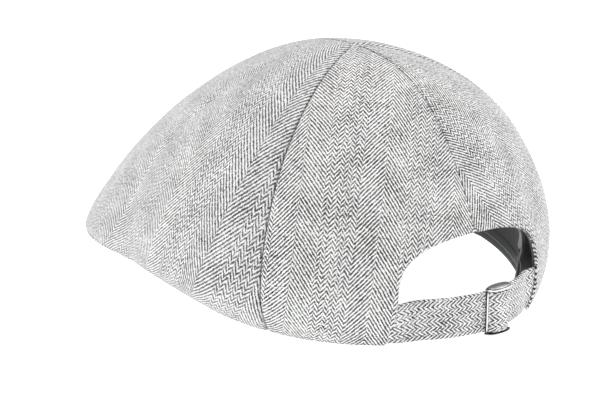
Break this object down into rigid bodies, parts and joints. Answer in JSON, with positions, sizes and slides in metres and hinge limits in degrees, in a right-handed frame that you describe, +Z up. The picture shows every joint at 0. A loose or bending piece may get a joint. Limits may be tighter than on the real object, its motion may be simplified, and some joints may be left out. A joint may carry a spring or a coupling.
{
  "type": "newsboy cap",
  "caption": "Soft herringbone newsboy cap with a fabric-covered peak, dark lining, open arched back, and an adjustable fabric strap with a slide buckle.",
  "frame": {"origin": "centre of the cap's bounding box at its base, on the surface that the hem and the peak's tip rest on", "axes": "+Z up; the peak points along -Y and the open back with its strap faces +Y; the wearer's left is +X"},
  "size_m": [0.2014, 0.26, 0.1208],
  "materials": {
    "herringbone_tweed": "woven wool herringbone in light and dark grey",
    "lining_satin": "dark satin",
    "sweatband_twill": "dark fine twill",
    "cotton_tape": "woven cotton tape",
    "brim_board": "matt flexible board",
    "polished_steel": "polished"
  },
  "bodies": {
    "root": {"crown_panel_front_left": "herringbone_tweed", "crown_panel_front_right": "herringbone_tweed", "crown_panel_back_left": "herringbone_tweed", "crown_panel_back_right": "herringbone_tweed", "brim_underside": "herringbone_tweed", "strap": "herringbone_tweed", "strap_tail": "herringbone_tweed", "lining_panel_front_left": "lining_satin", "lining_panel_front_right": "lining_satin", "lining_panel_back_left": "lining_satin", "lining_panel_back_right": "lining_satin", "seam_tape_back": "cotton_tape", "seam_tape_left": "cotton_tape", "seam_tape_right": "cotton_tape", "seam_tape_front": "cotton_tape", "crown_top_patch": "cotton_tape", "hem_tape_left": "cotton_tape", "hem_tape_right": "cotton_tape", "opening_facing": "cotton_tape", "strap_anchor_left": "cotton_tape", "strap_anchor_right": "cotton_tape", "sweatband": "sweatband_twill", "brim_board": "brim_board"},
    "slide_buckle": {"buckle_frame": "polished_steel", "buckle_centre_bar": "polished_steel", "strap_fold": "herringbone_tweed"}
  },
  "joints": [
    {"name": "buckle_slide", "type": "hinge", "parent": "root", "child": "slide_buckle", "pos_m": [0, 0.0634, 0.0124], "axis": [0, 0, 1], "range_deg": [-28, 10]}
  ]
}
